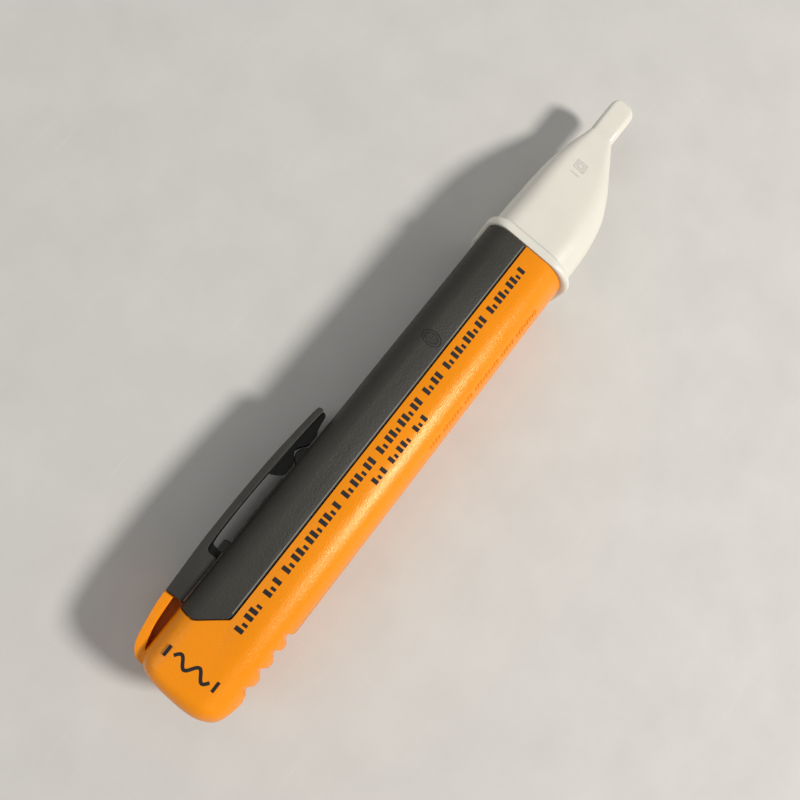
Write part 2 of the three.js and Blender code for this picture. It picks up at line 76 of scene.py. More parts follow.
SKIN = 0.02               # the visual skin lies this far inside the CAD faces
WALL = 1.8
R_GRIP, R_CLIP = 6.5, 4.0  # rounding of the body's long edges, on the grip side and the clip side
SEAM_Y = 1.5              # where the two colours meet
PANEL_START = 14.0
SEAM_GAP = 0.28
CLIP_HALF = 6.0           # half of the clip's width
TOOTH_HALF = 3.5
TIP_Y, TIP_HALF, TIP_THICK = 2.78, 2.82, 2.0  # the snout's middle, half-width and half-thickness
SNOUT_START = 137.3


def at(x, y, z):
    """A point of the part's own layout, as a vector in the frame's metres."""
    return Vector((x + X_SHIFT, y + Y_SHIFT, z)) * MM


# ---- camera and light -----------------------------------------------------------------------
def add_camera():
    data = bpy.data.cameras.new("camera")
    data.sensor_width = 36
    data.lens = 31.5
    camera = bpy.data.objects.new("camera", data)
    camera.location = at(40.4, 9.35, 141.2)
    camera.rotation_euler = [math.radians(a) for a in (6.71, -9.57, -51.85)]
    bpy.context.scene.collection.objects.link(camera)
    bpy.context.scene.camera = camera


def add_area_light(name, direction, distance, size, watts, colour=(1, 1, 1)):
    data = bpy.data.lights.new(name, "AREA")
    data.shape = "DISK"
    data.size = size
    data.energy = watts
    data.color = colour
    light = bpy.data.objects.new(name, data)
    light.location = Vector(direction).normalized() * distance
    light.rotation_euler = Vector(direction).to_track_quat("Z", "Y").to_euler()
    bpy.context.scene.collection.objects.link(light)


def add_studio():
    add_area_light("key", (0.34, -0.9, 1.0), 1.1, 0.2, 10.5, (1, 0.97, 0.93))
    add_area_light("fill", (-0.6, 0.9, 1.3), 1.4, 0.9, 2.5)
    world = bpy.data.worlds.new("studio")
    world.use_nodes = True
    background = world.node_tree.nodes["Background"]
    background.inputs["Color"].default_value = (0.97, 0.98, 1, 1)
    background.inputs["Strength"].default_value = 0.3
    bpy.context.scene.world = world
    bpy.context.scene.view_settings.view_transform = "Standard"
    bm = bmesh.new()
    bmesh.ops.create_grid(bm, x_segments=4, y_segments=4, size=2)
    mesh = bpy.data.meshes.new("floor")
    bm.to_mesh(mesh)
    bm.free()
    floor = bpy.data.objects.new("floor", mesh)
    bpy.context.scene.collection.objects.link(floor)
    paint = moulded("floor_paint", "#d0cec9", 0.75, grain=900, depth=0.01, cloud=0.02)
    floor.data.materials.append(paint)


# ---- materials ------------------------------------------------------------------------------
def linear(hex_colour):
    parts = [int(hex_colour[i:i + 2], 16) / 255 for i in (1, 3, 5)]
    return [c / 12.92 if c <= 0.04045 else ((c + 0.055) / 1.055) ** 2.4 for c in parts] + [1]


class Nodes:
    """A material's node tree, with short calls for the nodes that the finishes share."""

    def __init__(self, name):
        self.material = bpy.data.materials.new(name)
        self.material.use_nodes = True
        self.tree = self.material.node_tree
        self.shader = self.tree.nodes["Principled BSDF"]
        self.coords = self.add("ShaderNodeTexCoord").outputs["Object"]

    def add(self, kind, **inputs):
        node = self.tree.nodes.new(kind)
        for key, value in inputs.items():
            self.put(node.inputs[key.replace("_", " ")], value)
        return node

    def put(self, socket, value):
        if isinstance(value, bpy.types.NodeSocket):
            self.tree.links.new(value, socket)
        else:
            socket.default_value = value

    def noise(self, scale, detail=3, roughness=0.55, stretch=(1, 1, 1)):
        mapping = self.add("ShaderNodeMapping", Vector=self.coords, Scale=stretch)
        node = self.add("ShaderNodeTexNoise", Vector=mapping.outputs[0], Scale=scale)
        node.inputs["Detail"].default_value = detail
        node.inputs["Roughness"].default_value = roughness
        return node.outputs["Fac"]

    def remap(self, value, low, high, to_low, to_high):
        node = self.add("ShaderNodeMapRange")
        self.put(node.inputs["Value"], value)
        for key, number in zip(("From Min", "From Max", "To Min", "To Max"), (low, high, to_low, to_high)):
            node.inputs[key].default_value = number
        return node.outputs["Result"]

    def math(self, operation, a, b):
        node = self.add("ShaderNodeMath")
        node.operation = operation
        self.put(node.inputs[0], a)
        self.put(node.inputs[1], b)
        return node.outputs[0]

    def mix(self, factor, a, b):
        node = self.add("ShaderNodeMix")
        node.data_type = "RGBA"
        self.put(node.inputs["Factor"], factor)
        self.put(node.inputs[6], a)
        self.put(node.inputs[7], b)
        return node.outputs[2]

    def bump(self, height, depth_mm):
        node = self.add("ShaderNodeBump", Height=height)
        node.inputs["Distance"].default_value = depth_mm * MM
        self.put(self.shader.inputs["Normal"], node.outputs[0])


def moulded(name, colour, roughness, grain=2600, depth=0.05, cloud=0.06, wear=0.25,
            subsurface=0.0, gloss=0.4, gloss_tint=(1, 1, 1)):
    """Moulded plastic: spark texture, faint cloudiness, rubbed patches and hair scratches."""
    n = Nodes(name)
    base = linear(colour)
    dark = [c * (1 - 2.2 * cloud) for c in base[:3]] + [1]
    light = [min(1, c * (1 + cloud) + 0.012 * wear) for c in base[:3]] + [1]
    clouds = n.remap(n.noise(70, 4), 0.3, 0.7, 0, 1)
    scratches = n.remap(n.noise(900, 2, 0.5, (0.05, 1, 1)), 0.66, 0.74, 0, wear)
    rubbed = n.remap(n.noise(160, 5, 0.6), 0.45, 0.75, 0, wear)
    colour_out = n.mix(clouds, dark, light)
    pale = [min(1, c * 1.15 + 0.03) for c in base[:3]] + [1]
    n.put(n.shader.inputs["Base Color"], n.mix(n.math("MULTIPLY", scratches, 0.5), colour_out, pale))
    fine = n.noise(grain, 4, 0.7)
    dull = n.remap(fine, 0.3, 0.7, roughness - 0.06, roughness + 0.08)
    n.put(n.shader.inputs["Roughness"], n.math("SUBTRACT", dull, n.math("MULTIPLY", rubbed, 0.35)))
    n.bump(n.math("ADD", fine, n.math("MULTIPLY", scratches, -0.4)), depth)
    n.shader.inputs["Specular IOR Level"].default_value = gloss
    n.shader.inputs["Specular Tint"].default_value = (*gloss_tint, 1)
    if subsurface:
        n.shader.inputs["Subsurface Weight"].default_value = subsurface
        n.shader.inputs["Subsurface Radius"].default_value = (1.0, 0.85, 0.7)
        n.shader.inputs["Subsurface Scale"].default_value = 1.6 * MM
    return n.material


def metal(name, colour, roughness, brushed=(1, 1, 1)):
    """Bare metal: drawn or brushed grain, with tarnish in soft patches."""
    n = Nodes(name)
    base = linear(colour)
    tarnish = [c * 0.62 for c in base[:3]] + [1]
    patches = n.remap(n.noise(260, 4), 0.45, 0.75, 0, 0.6)
    n.put(n.shader.inputs["Base Color"], n.mix(patches, base, tarnish))
    n.shader.inputs["Metallic"].default_value = 1
    grain = n.noise(3200, 2, 0.5, brushed)
    n.put(n.shader.inputs["Roughness"], n.remap(grain, 0.3, 0.7, roughness - 0.08, roughness + 0.14))
    n.bump(grain, 0.012)
    return n.material


def circuit_board(name):
    """Solder mask with faint tracks under it."""
    n = Nodes(name)
    tracks = n.add("ShaderNodeTexBrick", Vector=n.coords, Scale=520)
    tracks.inputs["Mortar Size"].default_value = 0.03
    lines = n.remap(tracks.outputs["Fac"], 0, 1, 0, 0.8)
    mask = n.mix(n.noise(300), linear("#14502a"), linear("#1c6636"))
    n.put(n.shader.inputs["Base Color"], n.mix(lines, mask, linear("#3d8f55")))
    n.put(n.shader.inputs["Roughness"], n.remap(n.noise(2000), 0.3, 0.7, 0.25, 0.4))
    n.bump(n.math("ADD", lines, n.noise(2400)), 0.02)
    return n.material


def cell_label(name):
    """Printed battery sleeve: blue, with a dark band at one end of each cell."""
    n = Nodes(name)
    pitch = 44.8 * MM
    split = n.add("ShaderNodeSeparateXYZ", Vector=n.coords)
    along = n.math("FRACT", n.math("DIVIDE", n.math("ADD", split.outputs[0], 1.0), pitch), 0)
    band = n.remap(along, 0.68, 0.69, 0, 1)
    sheen = n.noise(400, 3)
    body = n.mix(sheen, linear("#24518c"), linear("#2f66ab"))
    n.put(n.shader.inputs["Base Color"], n.mix(band, body, linear("#1b1d22")))
    n.put(n.shader.inputs["Roughness"], n.remap(sheen, 0.3, 0.7, 0.22, 0.36))
    n.shader.inputs["Metallic"].default_value = 0.35
    n.bump(n.noise(1800), 0.01)
    return n.material


def ink(name, colour):
    """Pad-printed ink: thin, slightly uneven at its surface."""
    n = Nodes(name)
    base = linear(colour)
    worn = [c * 1.6 + 0.01 for c in base[:3]] + [1]
    n.put(n.shader.inputs["Base Color"], n.mix(n.remap(n.noise(1500, 4), 0.55, 0.8, 0, 0.7), base, worn))
    n.put(n.shader.inputs["Roughness"], n.remap(n.noise(2600), 0.3, 0.7, 0.35, 0.55))
    n.bump(n.noise(2600), 0.02)
    return n.material


FINISH = {
    "yellow": moulded("yellow_spark_plastic", "#f99200", 0.23, grain=3000, depth=0.065, cloud=0.02,
                      gloss=0.65, gloss_tint=(1, 0.85, 0.55)),
    # rubbed: painted highlight, a light grey standing in for the key light caught on the grey panel's edge
    # bevel
    "rubbed": moulded("grey_edge_painted_highlight", "#8d8b82", 0.35, depth=0.05, cloud=0.12, wear=0.6),
    "grey": moulded("grey_spark_plastic", "#34322c", 0.52, grain=2200, depth=0.1, cloud=0.05),
    "clip": moulded("grey_clip_nylon", "#302f2b", 0.44, depth=0.05, wear=0.4),
    "nose": moulded("white_satin_plastic", "#e4e0d4", 0.36, grain=1500, depth=0.008, cloud=0.015,
                    wear=0.15, subsurface=0.35),
    "natural": moulded("natural_plastic", "#d2cdbf", 0.5, depth=0.015),
    "black": moulded("black_plastic", "#1d1d1f", 0.45, depth=0.02),
    "button": moulded("button_rubber", "#232325", 0.7, grain=3000, depth=0.04),
    "ceramic": moulded("chip_ceramic", "#b9a684", 0.45, depth=0.01),
    "lens": moulded("led_lens", "#c4201c", 0.15, depth=0.002, subsurface=0.5),
    "steel": metal("plated_steel", "#b5b7ba", 0.28, (0.1, 1, 1)),
    "brass": metal("brass_disc", "#c4a052", 0.32),
    "copper": metal("tinned_copper", "#b9805a", 0.35, (0.1, 1, 1)),
    "board": circuit_board("solder_mask"),
    "cell": cell_label("cell_label"),
    "ink": ink("black_ink", "#14120f"),
    "faint_ink": ink("dark_ink", "#181815"),
}


# ---- mesh helpers ---------------------------------------------------------------------------
def ring_loft(rings, closed_loop=False):
    """A closed skin through rings of (x, y, z) points in millimetres. Its ends are capped,
    or joined to each other when closed_loop is set."""
    bm = bmesh.new()
    rows = [[bm.verts.new(at(*p)) for p in ring] for ring in rings]
    pairs = list(zip(rows, rows[1:]))
    if closed_loop:
        pairs.append((rows[-1], rows[0]))
    for a, b in pairs:
        for i in range(len(a)):
            j = (i + 1) % len(a)
            bm.faces.new((a[i], a[j], b[j], b[i]))
    if not closed_loop:
        bm.faces.new(rows[0][::-1])
        bm.faces.new(rows[-1])
    bmesh.ops.recalc_face_normals(bm, faces=bm.faces)
    return bm


def plate(outline, z0, z1, bevel=0.0, steps=3):
    """An outline of (x, y) points as a slab from z0 to z1, its edges rounded by `bevel`."""
    bm = bmesh.new()
    low = [bm.verts.new(at(x, y, z0)) for x, y in outline]
    high = [bm.verts.new(at(x, y, z1)) for x, y in outline]
    count = len(outline)
    bottom = bm.faces.new(low[::-1])
    top = bm.faces.new(high)
    for i in range(count):
        j = (i + 1) % count
        bm.faces.new((low[i], low[j], high[j], high[i]))
    bmesh.ops.recalc_face_normals(bm, faces=bm.faces)
    if bevel:
        rims = list(bottom.edges) + list(top.edges)
        bmesh.ops.bevel(bm, geom=rims, offset=bevel * MM, segments=steps, profile=0.5,
                        affect="EDGES", clamp_overlap=True)
    return bm


def block(x0, x1, y0, y1, z0, z1, bevel=0.0):
    """A box between two corners, its edges rounded by `bevel`."""
    bm = bmesh.new()
    centre = (at(x0, y0, z0) + at(x1, y1, z1)) / 2
    size = at(x1, y1, z1) - at(x0, y0, z0)
    bmesh.ops.create_cube(bm, size=1, matrix=Matrix.Translation(centre) @ Matrix.Diagonal((*size, 1)))
    if bevel:
        bmesh.ops.bevel(bm, geom=bm.edges[:], offset=bevel * MM, segments=3, profile=0.5, affect="EDGES")
    return bm


def smooth(points, steps=8):
    """Catmull-Rom curve through the points."""
    out = []
    for i in range(len(points) - 1):
        p0 = points[max(i - 1, 0)]
        p1, p2 = points[i], points[i + 1]
        p3 = points[min(i + 2, len(points) - 1)]
        for k in range(steps):
            t = k / steps
            out.append(tuple(
                0.5 * (2 * b + (c - a) * t + (2 * a - 5 * b + 4 * c - d) * t * t
                       + (3 * b - a - 3 * c + d) * t ** 3)
                for a, b, c, d in zip(p0, p1, p2, p3)))
    out.append(tuple(points[-1]))
    return out


def to_object(name, bm):
    mesh = bpy.data.meshes.new(name)
    bm.to_mesh(mesh)
    bm.free()
    piece = bpy.data.objects.new(name, mesh)
    bpy.context.scene.collection.objects.link(piece)
    return piece


def join(a, b):
    """Adds b's mesh to a's."""
    mesh = bpy.data.meshes.new("join")
    b.to_mesh(mesh)
    a.from_mesh(mesh)
    bpy.data.meshes.remove(mesh)
    b.free()


def settle(piece):
    """Turns the piece's modifiers into mesh."""
    graph = bpy.context.evaluated_depsgraph_get()
    mesh = bpy.data.meshes.new_from_object(piece.evaluated_get(graph))
    piece.modifiers.clear()
    old = piece.data
    piece.data = mesh
    bpy.data.meshes.remove(old)


def carve(piece, tool_bm, operation="DIFFERENCE"):
    """Cuts the tool's mesh out of the piece, or joins or keeps it, as the operation says."""
    tool = to_object("tool", tool_bm)
    modifier = piece.modifiers.new("carve", "BOOLEAN")
    modifier.object = tool
    modifier.operation = operation
    modifier.solver = "EXACT"
    settle(piece)
    bpy.data.objects.remove(tool)


def soften(piece, width, angle=40, segments=2):
    """Small rounded edges on a cut mesh."""
    bm = bmesh.new()
    bm.from_mesh(piece.data)
    bmesh.ops.remove_doubles(bm, verts=bm.verts, dist=0.004 * MM)
    bmesh.ops.dissolve_limit(bm, angle_limit=math.radians(0.4), verts=bm.verts, edges=bm.edges)
    bm.to_mesh(piece.data)
    bm.free()
    modifier = piece.modifiers.new("edges", "BEVEL")
    modifier.width = width * MM
    modifier.segments = segments
    modifier.limit_method = "ANGLE"
    modifier.angle_limit = math.radians(angle)
    modifier.use_clamp_overlap = True
    settle(piece)


def finish_piece(piece, finish, body, replaces=(), angle=35):
    """Gives the piece its material and shading, and lets it ride on a body."""
    piece.data.materials.clear()
    piece.data.materials.append(FINISH[finish])
    for polygon in piece.data.polygons:
        polygon.use_smooth = True
        polygon.material_index = 0
    piece.data.set_sharp_from_angle(angle=math.radians(angle))
    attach(piece, body)
    if replaces:
        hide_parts(*replaces)
    return piece


# ---- the body's skin ------------------------------------------------------------------------
def section(y0, y1, z0, z1, r_low, r_high, arc=22, flat=8):
    """Rounded rectangle in (y, z), anticlockwise, with extra points on its straight sides."""
    limit = min(y1 - y0, z1 - z0) / 2 - 0.001
    lo, hi = min(r_low, limit), min(r_high, limit)
    corners = [(y1 - hi, z0 + hi, hi, -90), (y1 - hi, z1 - hi, hi, 0),
               (y0 + lo, z1 - lo, lo, 90), (y0 + lo, z0 + lo, lo, 180)]
    points = []
    for i, (cy, cz, r, start) in enumerate(corners):
        for k in range(arc + 1):
            a = math.radians(start + 90 * k / arc)
            points.append((cy + r * math.cos(a), cz + r * math.sin(a)))
        ny, nz, nr, nstart = corners[(i + 1) % 4]
        a = math.radians(nstart)
        end = (ny + nr * math.cos(a), nz + nr * math.sin(a))
        last = points[-1]
        for k in range(1, flat):
            t = k / flat
            points.append((last[0] + (end[0] - last[0]) * t, last[1] + (end[1] - last[1]) * t))
    return points


def body_section(inset, flatten=0.0):
    """The body's cross-section, `inset` inside the surface and lower by `flatten` on both flat sides."""
    return section(-BODY_HALF + inset, BODY_HALF - inset, inset + flatten, THICK - inset - flatten,
                   max(R_GRIP - inset, 0.15), max(R_CLIP - inset, 0.15))


REAR_PLAN = [
    (3.75, 9.4), (2.6, 7.2), (1.85, 3.9), (1.45, 0), (REAR_END, -2.8), (1.8, -5.5), (3, -8), (7, -9.5),
]
REAR_CURVE = smooth(REAR_PLAN, 6)
REAR_ROUND = 3.2          # rounding from the rear end into the body's sides
REAR_FADE = 14            # the rear end's curve has died out this far along the body


def rear_shift(y):
    """How far forward of its rearmost point the convex rear end lies at y."""
    for (x0, y0), (x1, y1) in zip(REAR_CURVE, REAR_CURVE[1:]):
        if y1 <= y <= y0:
            return x0 + (x1 - x0) * (y0 - y) / max(y0 - y1, 1e-6) - REAR_END
    nearest = REAR_CURVE[0] if y > REAR_CURVE[0][1] else REAR_CURVE[-1]
    return nearest[0] - REAR_END


def shape_rear(x, y, z):
    """Leans the rear end forward, less and less along the body."""
    fade = max(0, 1 - (x - REAR_END) / REAR_FADE) ** 2
    return x + rear_shift(y) * fade, y, z


GRIP_DEPTH = 0.93         # greatest depth of the finger valleys
GRIP_RISE = 1.6           # how quickly the sides of a valley reach that depth
GRIP_WALL = -7.1          # inner face of the wall behind the finger grip
GRIP_END = 24
GRIP_RANGE = (6.8, 22.4)  # the stretch of x that the valleys lie in
FINE_STEP, COARSE_STEP = 0.14, 1.5
GRIP_START = [(7, -9.5), (8, -8.95)]
VALLEYS = [10.45, 14.2, 17.8, 21.15]
VALLEY = [
    (-1.65, -8.85), (-1.15, -8.2), (-0.55, -7.4), (-0.05, -7.5), (0.2, -8.7), (0.55, -9.15), (1.07, -9.45),
]
GRIP_CURVE = smooth(GRIP_START + [(x + along, y) for x in VALLEYS for along, y in VALLEY], 6)


def grip_edge(x):
    """The y that the finger valleys reach in to at x, seen on the body's outline."""
    for (x0, y0), (x1, y1) in zip(GRIP_CURVE, GRIP_CURVE[1:]):
        if x0 <= x <= x1:
            return y0 + (y1 - y0) * (x - x0) / max(x1 - x0, 1e-6)
    return -BODY_HALF - 1


def press_grip(x, y, z):
    """Moves a point of the grip side inwards along the section's normal where a valley is."""
    edge = grip_edge(x)
    if y >= edge:
        return x, y, z
    ny, nz = y + BODY_HALF - R_GRIP, z - MID_Z
    nz = 0 if abs(nz) < MID_Z - R_GRIP else nz - math.copysign(MID_Z - R_GRIP, nz)
    length = math.hypot(ny, nz)
    ny, nz = ny / length, nz / length
    reach = (edge - y) / max(-ny, 0.3)  # the same distance along the normal, kept in bounds
    depth = GRIP_DEPTH * math.tanh(reach / GRIP_DEPTH * GRIP_RISE)
    return x, y - ny * depth, z - nz * depth


def body_skin(inset, end):
    """The whole body as one closed skin, `inset` inside the real surface. Only a skin close to
    the surface has the finger valleys."""
    has_valleys = inset < 1
    start = REAR_END + inset
    core = body_section(inset, REAR_ROUND)
    rings = [[(start, y * share, MID_Z + (z - MID_Z) * share) for y, z in core]
             for share in (0.06, 0.3, 0.55, 0.8, 0.95)]
    for k in range(13):
        a = math.radians(90 * k / 12)
        ring = body_section(inset, REAR_ROUND * (1 - math.sin(a)))
        rings.append([(start + REAR_ROUND * (1 - math.cos(a)), y, z) for y, z in ring])
    full = body_section(inset)
    x = start + REAR_ROUND
    while x < GRIP_RANGE[1]:
        x += FINE_STEP if has_valleys else COARSE_STEP
        rings.append([(x, y, z) for y, z in full])
    for x in (GRIP_END, 40, 60, 80, end):
        rings.append([(x, y, z) for y, z in full])
    rings = [[shape_rear(*p) for p in ring] for ring in rings]
    if has_valleys:
        rings = [[press_grip(*p) if p[0] > GRIP_RANGE[0] else p for p in ring] for ring in rings]
    return ring_loft(rings)


def panel_outline(grow):
    """Plan of the grey panel with its slanted rear corner, running well past the body's
    clip side and front."""
    x = PANEL_START - grow
    low = SEAM_Y - grow
    slope = smooth([(x, 12), (x, 7.4), (x + 0.05, 6.7), (x + 0.45, 5.9), (x + 1.9, 4), (x + 3.3, 2.15),
                    (x + 3.8, low + 0.15), (x + 4.6, low), (x + 6, low)], 5)
    far, wide = SLEEVE_END + 8, 24
    return [(x, wide)] + slope + [(far, low), (far, wide)]


def cavity():
    """The room for the battery module, open at the front and shallower behind the grip."""
    room = to_object("room", body_skin(WALL, SLEEVE_END + 8))
    carve(room, block(0, GRIP_END, -12, GRIP_WALL, -1, THICK + 1))
    bm = bmesh.new()
    bm.from_mesh(room.data)
    bpy.data.objects.remove(room)
    return bm


# ---- outer shells ---------------------------------------------------------------------------
ROOT_END = 14.3
ROOT_OUTER = [
    (3.1, 8.1), (3.27, 9.4), (3.75, 10.35), (4.95, 11.36), (7, 12.02), (11.7, 12.87), (ROOT_END, 13.07),
]
ROOT_INNER = [
    (ROOT_END, 11.3), (11.8, 11.1), (8.7, 10.7), (5.9, 9.8), (5, 9.1), (5.3, 8.1),
]
WEB_HALF = 0.78           # half of the web's thickness


def clip_root():
    """The arch that carries the clip."""
    outline = smooth(ROOT_OUTER, 6) + smooth(ROOT_INNER, 6)
    return plate(outline, MID_Z - CLIP_HALF, MID_Z + CLIP_HALF, 0.5, 4)


def slot_web():
    """The thin wall that closes the slot behind the clip's root."""
    end = PANEL_START - 0.5
    over_panel = BODY_HALF + 0.3
    outline = [(4.6, 8.6), (end, 8.6), (end, over_panel), (ROOT_END - 0.02, over_panel),
               (ROOT_END - 0.02, 11.4), (9, 11), (6, 10.4), (4.6, 9.8)]
    return plate(outline, MID_Z - WEB_HALF, MID_Z + WEB_HALF)


def make_outer_sleeve():
    """Yellow shell: the body less its slot and the panel's side, with the clip's root and web."""
    sleeve = to_object("outer_sleeve_skin", body_skin(SKIN, SLEEVE_END))
    slot = [(5.4, 8.65), (16, 9.3), (16, 12), (5.4, 12)]
    carve(sleeve, plate(slot, MID_Z - CLIP_HALF, MID_Z + CLIP_HALF))
    carve(sleeve, plate(panel_outline(SEAM_GAP / 2), -2, THICK + 2))
    carve(sleeve, clip_root(), "UNION")
    carve(sleeve, slot_web(), "UNION")
    carve(sleeve, cavity())
    soften(sleeve, 0.16)
    finish_piece(sleeve, "yellow", "sleeve", ["outer_sleeve"])


def panel_ridge():
    """The bump on the panel that fits between the clip's teeth."""
    top = smooth([(44.3, 9.2), (45.4, 10.3), (46.4, 10.66), (47.4, 10.3), (48.5, 9.2)], 6)
    return plate(top + [(48.5, 8.6), (44.3, 8.6)], MID_Z - TOOTH_HALF, MID_Z + TOOTH_HALF, 0.25)


BUTTON_FLANGE = 0.9       # the flange under the panel reaches this far past the button's cap
BUTTON_HALF, BUTTON_CORNER = 3.5, 2.4
BUTTON_GAP = 0.3


def button_outline(grow):
    """Outline of the button's cap in (x, z)."""
    low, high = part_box("power_button")
    x0, x1 = low.x / MM - X_SHIFT + BUTTON_FLANGE, high.x / MM - X_SHIFT - BUTTON_FLANGE
    half, radius = BUTTON_HALF + grow, BUTTON_CORNER + grow
    return section(x0 - grow, x1 + grow, MID_Z - half, MID_Z + half, radius, radius, 8, 2)


def side_plate(outline, y0, y1):
    """An outline of (x, z) points as a slab from y0 to y1."""
    bm = bmesh.new()
    low = [bm.verts.new(at(x, y0, z)) for x, z in outline]
    high = [bm.verts.new(at(x, y1, z)) for x, z in outline]
    bm.faces.new(low)
    bm.faces.new(high[::-1])
    for i in range(len(outline)):
        j = (i + 1) % len(outline)
        bm.faces.new((low[i], high[i], high[j], low[j]))
    bmesh.ops.recalc_face_normals(bm, faces=bm.faces)
    return bm


LATCH_Z = 13.5            # middle of the latch arm, its rail, window and groove
RAIL_START, RAIL_END, RAIL_TOP = 27.9, 41, 9.72
WINDOW_START, WINDOW_END = 24.4, 27.3
GROOVE_TOP = 8.5


def make_grey_panel():
    """Grey shell with its bump and rail, open for the latch arm and the button."""
    panel = to_object("grey_panel_skin", body_skin(SKIN, SLEEVE_END))
    carve(panel, plate(panel_outline(-SEAM_GAP / 2), -2, THICK + 2), "INTERSECT")
    carve(panel, cavity())
    carve(panel, panel_ridge(), "UNION")
    rail = block(RAIL_START, RAIL_END, 8.8, RAIL_TOP, LATCH_Z - 1.2, LATCH_Z + 1.2, 0.15)
    carve(panel, rail, "UNION")
    carve(panel, block(WINDOW_START, WINDOW_END, 7, 11, LATCH_Z - 1.4, LATCH_Z + 1.4))
    carve(panel, block(WINDOW_START, SLEEVE_END + 1, 7, GROOVE_TOP, LATCH_Z - 1.3, LATCH_Z + 1.3))
    carve(panel, side_plate(button_outline(BUTTON_GAP), 6, 11))
    soften(panel, 0.3, segments=3)
    finish_piece(panel, "grey", "sleeve", ["grey_panel"])


# ---- pocket clip ----------------------------------------------------------------------------
BLOCK_END = 23.6
BLOCK_BOTTOM = 9.65
CLIP_TOP = 13.7
ARM_START = ROOT_END + 0.32
ARM_INNER = [
    (BLOCK_END, 11.3), (BLOCK_END + 0.12, 11.75), (BLOCK_END + 0.6, 12.05), (26.4, 12.25), (31.3, 12.35),
    (37.3, 12.3), (43.3, 12.1), (48.6, 11.9), (53.6, 11.6), (CLIP_END - 0.5, 11.4),
]
ARM_OUTER = [
    (CLIP_END, 11.6), (CLIP_END, 12.2), (54.4, 12.72), (50.4, 13.05), (43.3, 13.5), (34.7, CLIP_TOP),
    (26.3, 13.64), (21.4, 13.44), (ARM_START, 13.05),
]
TEETH = [
    (40.1, 12.6), (40.45, 11.6), (40.8, 10.9), (41.6, 9.95), (42.2, 9.6), (44, 9.6), (44.6, 9.8),
    (45.1, 10.2), (46, 10.95), (46.6, 11.1), (47.3, 10.8), (48, 10.25), (48.6, 9.8), (49.1, 9.6),
    (50.9, 9.6), (51.8, 10.1), (53.3, 10.35), (54.6, 10.55), (CLIP_END - 0.05, 11),
    (CLIP_END - 0.05, 12.1), (54.3, 12.5),
]


def make_pocket_clip():
    """The clip's block, curved arm and two teeth."""
    underside = [(ARM_START, BLOCK_BOTTOM), (BLOCK_END, BLOCK_BOTTOM)] + smooth(ARM_INNER, 5)
    outline = underside + smooth(ARM_OUTER, 6)
    clip = to_object("pocket_clip_arm", plate(outline, MID_Z - CLIP_HALF, MID_Z + CLIP_HALF, 0.3, 4))
    carve(clip, plate(TEETH, MID_Z - TOOTH_HALF, MID_Z + TOOTH_HALF), "UNION")
    soften(clip, 0.12, 50)
    finish_piece(clip, "clip", "clip", ["pocket_clip"])


# ---- nose -----------------------------------------------------------------------------------
NOSE_START = 105.2
NOSE = [                  # x, lowest y, highest y, half of the thickness
    (NOSE_START, -9.5, 9.2, 9.2), (109, -9.55, 9.15, 9.15), (113, -9.4, 9, 9), (116.5, -9, 8.85, 8.6),
    (120, -8.3, 8.65, 8), (123.5, -7, 8.35, 7.2), (127, -5.4, 7.85, 6.1), (130.8, -3.4, 7.1, 4.7),
    (134.2, -1.7, 6.3, 3.2), (SNOUT_START, TIP_Y - TIP_HALF, TIP_Y + TIP_HALF, TIP_THICK),
]
GROOVE_START = 137
SNOUT_GROOVE = [(-0.12, -0.03), (0, 0.1), (0.12, 0.02)]  # from the snout's start: along, inwards
SNOUT_MIDDLE = 141
TIP_ROUND = 2.3


def nose_top(x):
    """Height of the nose's upper face at x."""
    for (x0, _, _, h0), (x1, _, _, h1) in zip(NOSE, NOSE[1:]):
        if x0 <= x <= x1:
            return MID_Z + h0 + (h1 - h0) * (x - x0) / (x1 - x0)
    return MID_Z + TIP_THICK


def nose_ring(x, low, high, half):
    """A ring of the nose, whose long edges are rounded less where it is thinner."""
    share = half / MID_Z
    ring = section(low, high, MID_Z - half, MID_Z + half,
                   max(R_GRIP * share, 0.2), max(R_CLIP * share, 0.2), 10, 6)
    return [(x, y, z) for y, z in ring]


def snout_ring(x, half_width, half_thickness):
    """A ring around the snout's own middle line."""
    return nose_ring(x, TIP_Y - half_width, TIP_Y + half_width, half_thickness)


def make_nose_cone():
    """Tapered nose, the fine groove where the snout starts, and the snout with its rounded tip."""
    rings = [nose_ring(NOSE_START + 0.02, *[v * 0.985 for v in NOSE[0][1:]])]
    rings += [nose_ring(x, lo + SKIN, hi - SKIN, half - SKIN)
              for x, lo, hi, half in smooth(NOSE, 5) if x < GROOVE_START]
    rings += [snout_ring(SNOUT_START + along, TIP_HALF - inset, TIP_THICK - inset)
              for along, inset in SNOUT_GROOVE]
    rings.append(snout_ring(SNOUT_MIDDLE, TIP_HALF, TIP_THICK))
    for k in range(16):
        a = math.radians(90 * k / 16)
        x = TIP_END - SKIN - TIP_ROUND * (1 - math.sin(a))
        half_thickness = TIP_THICK * (0.35 + 0.65 * math.cos(a) ** 0.6)
        rings.append(snout_ring(x, TIP_HALF - TIP_ROUND * (1 - math.cos(a)), half_thickness))
    nose = to_object("nose_cone_skin", ring_loft(rings))
    finish_piece(nose, "nose", "front_module", ["nose_cone"], 50)


BEAD, GRIP_BEAD = 0.85, 1.45  # how far the bead stands out, on the clip side and the grip side
SKIRT_START = 102
COLLAR_GAP = 0.12         # between the bead and the nose


